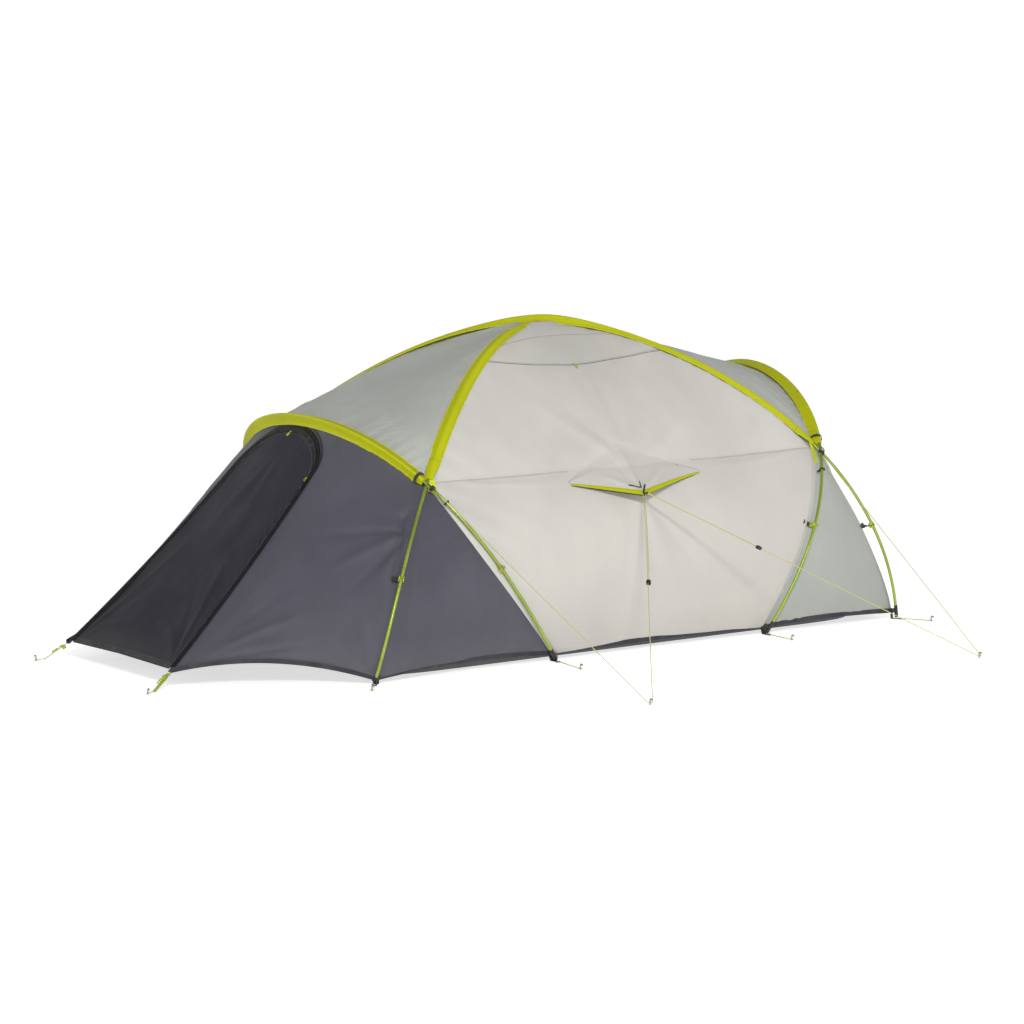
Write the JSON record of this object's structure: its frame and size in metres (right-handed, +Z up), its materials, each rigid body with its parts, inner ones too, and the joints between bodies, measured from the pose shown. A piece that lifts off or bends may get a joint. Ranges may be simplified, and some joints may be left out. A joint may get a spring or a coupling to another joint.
{
  "type": "dome tent",
  "caption": "Geodesic dome tent with sleeved crossing poles, side vent hoods, front vestibule with a zipped door, inner tent, guylines and pegs.",
  "frame": {"origin": "on the ground below the middle of the tent's box, which spans the straps and pegs at both ends but not the guylines", "axes": "-X towards the vestibule and its door, +X towards the rear, +Y towards the tent's right side seen by someone inside facing the rear wall, -Y the other side, +Z up"},
  "size_m": [3.1076, 3.6396, 1.221],
  "materials": {
    "pole": "satin",
    "sleeve": "satin",
    "canopy": "satin",
    "vestibule": "satin",
    "door": "satin",
    "tape": "matte",
    "plastic": "satin",
    "slider": "satin",
    "webbing": "matte",
    "strap": "matte",
    "cord": "matte",
    "peg": "satin",
    "floor": "satin",
    "inner": "matte"
  },
  "bodies": {
    "tent": {"pole_hoop_front": "pole", "pole_hoop_rear": "pole", "pole_main_over": "pole", "pole_main_under": "pole", "sleeve_hoop_front": "sleeve", "sleeve_hoop_rear": "sleeve", "sleeve_main_over": "sleeve", "sleeve_main_under": "sleeve", "fly_side_left": "canopy", "fly_side_right": "canopy", "fly_roof_front": "canopy", "fly_roof_rear": "canopy", "fly_vestibule": "vestibule", "fly_rear": "canopy", "door_zip": "tape", "vent_hood_left": "canopy", "vent_hood_right": "canopy", "hem_left": "tape", "hem_right": "tape", "foot_strap_corner_front_left": "strap", "foot_strap_corner_front_right": "strap", "foot_strap_corner_rear_left": "strap", "foot_strap_corner_rear_right": "strap", "corner_strap_left": "webbing", "corner_strap_right": "webbing", "clip_hoop_front_left": "plastic", "clip_hoop_front_right": "plastic", "clip_hoop_rear_left": "plastic", "clip_hoop_rear_right": "plastic", "clip_corner_front_left": "plastic", "clip_corner_front_right": "plastic", "clip_corner_rear_left": "plastic", "clip_corner_rear_right": "plastic", "peg_corner_front_left": "peg", "peg_corner_front_right": "peg", "peg_hoop_front_left": "peg", "peg_hoop_front_right": "peg", "peg_hoop_rear_left": "peg", "peg_hoop_rear_right": "peg", "peg_corner_rear_left": "peg", "peg_corner_rear_right": "peg", "peg_vestibule_left": "peg", "peg_vestibule_right": "peg", "peg_guy_front_left": "peg", "peg_guy_front_right": "peg", "peg_guy_rear_left": "peg", "peg_guy_rear_right": "peg", "guyline_front_left": "cord", "guyline_front_right": "cord", "guyline_rear_left": "cord", "guyline_rear_right": "cord", "inner_floor": "floor", "inner_canopy": "inner"},
    "door": {"fly_door": "door"},
    "inner_door": {"inner_door": "inner"},
    "zip_slider": {"zip_slider": "slider"},
    "tensioner_front_left": {"tensioner_front_left": "plastic"},
    "tensioner_front_right": {"tensioner_front_right": "plastic"},
    "tensioner_rear_left": {"tensioner_rear_left": "plastic"},
    "tensioner_rear_right": {"tensioner_rear_right": "plastic"}
  },
  "joints": [
    {"name": "door_fall", "type": "hinge", "parent": "tent", "child": "door", "pos_m": [-1.44025, 0, 0.064], "axis": [0, -1, 0], "range_deg": [0, 130]},
    {"name": "inner_door_fall", "type": "hinge", "parent": "tent", "child": "inner_door", "pos_m": [-0.75245, 0, 0.165], "axis": [0, 1, 0], "range_deg": [0, 90]},
    {"name": "zip_slide", "type": "slide", "parent": "tent", "child": "zip_slider", "axis": [-0.7139, -0.155, -0.6829], "range_m": [0, 0.85]},
    {"name": "guy_front_left_slide", "type": "slide", "parent": "tent", "child": "tensioner_front_left", "axis": [0.5019, 0.7399, 0.4479], "range_m": [-0.4, 0.4]},
    {"name": "guy_front_right_slide", "type": "slide", "parent": "tent", "child": "tensioner_front_right", "axis": [0.5019, -0.7399, 0.4479], "range_m": [-0.4, 0.4]},
    {"name": "guy_rear_left_slide", "type": "slide", "parent": "tent", "child": "tensioner_rear_left", "axis": [-0.5738, 0.6977, 0.4288], "range_m": [-0.5, 0.3]},
    {"name": "guy_rear_right_slide", "type": "slide", "parent": "tent", "child": "tensioner_rear_right", "axis": [-0.5738, -0.6977, 0.4288], "range_m": [-0.5, 0.3]}
  ]
}
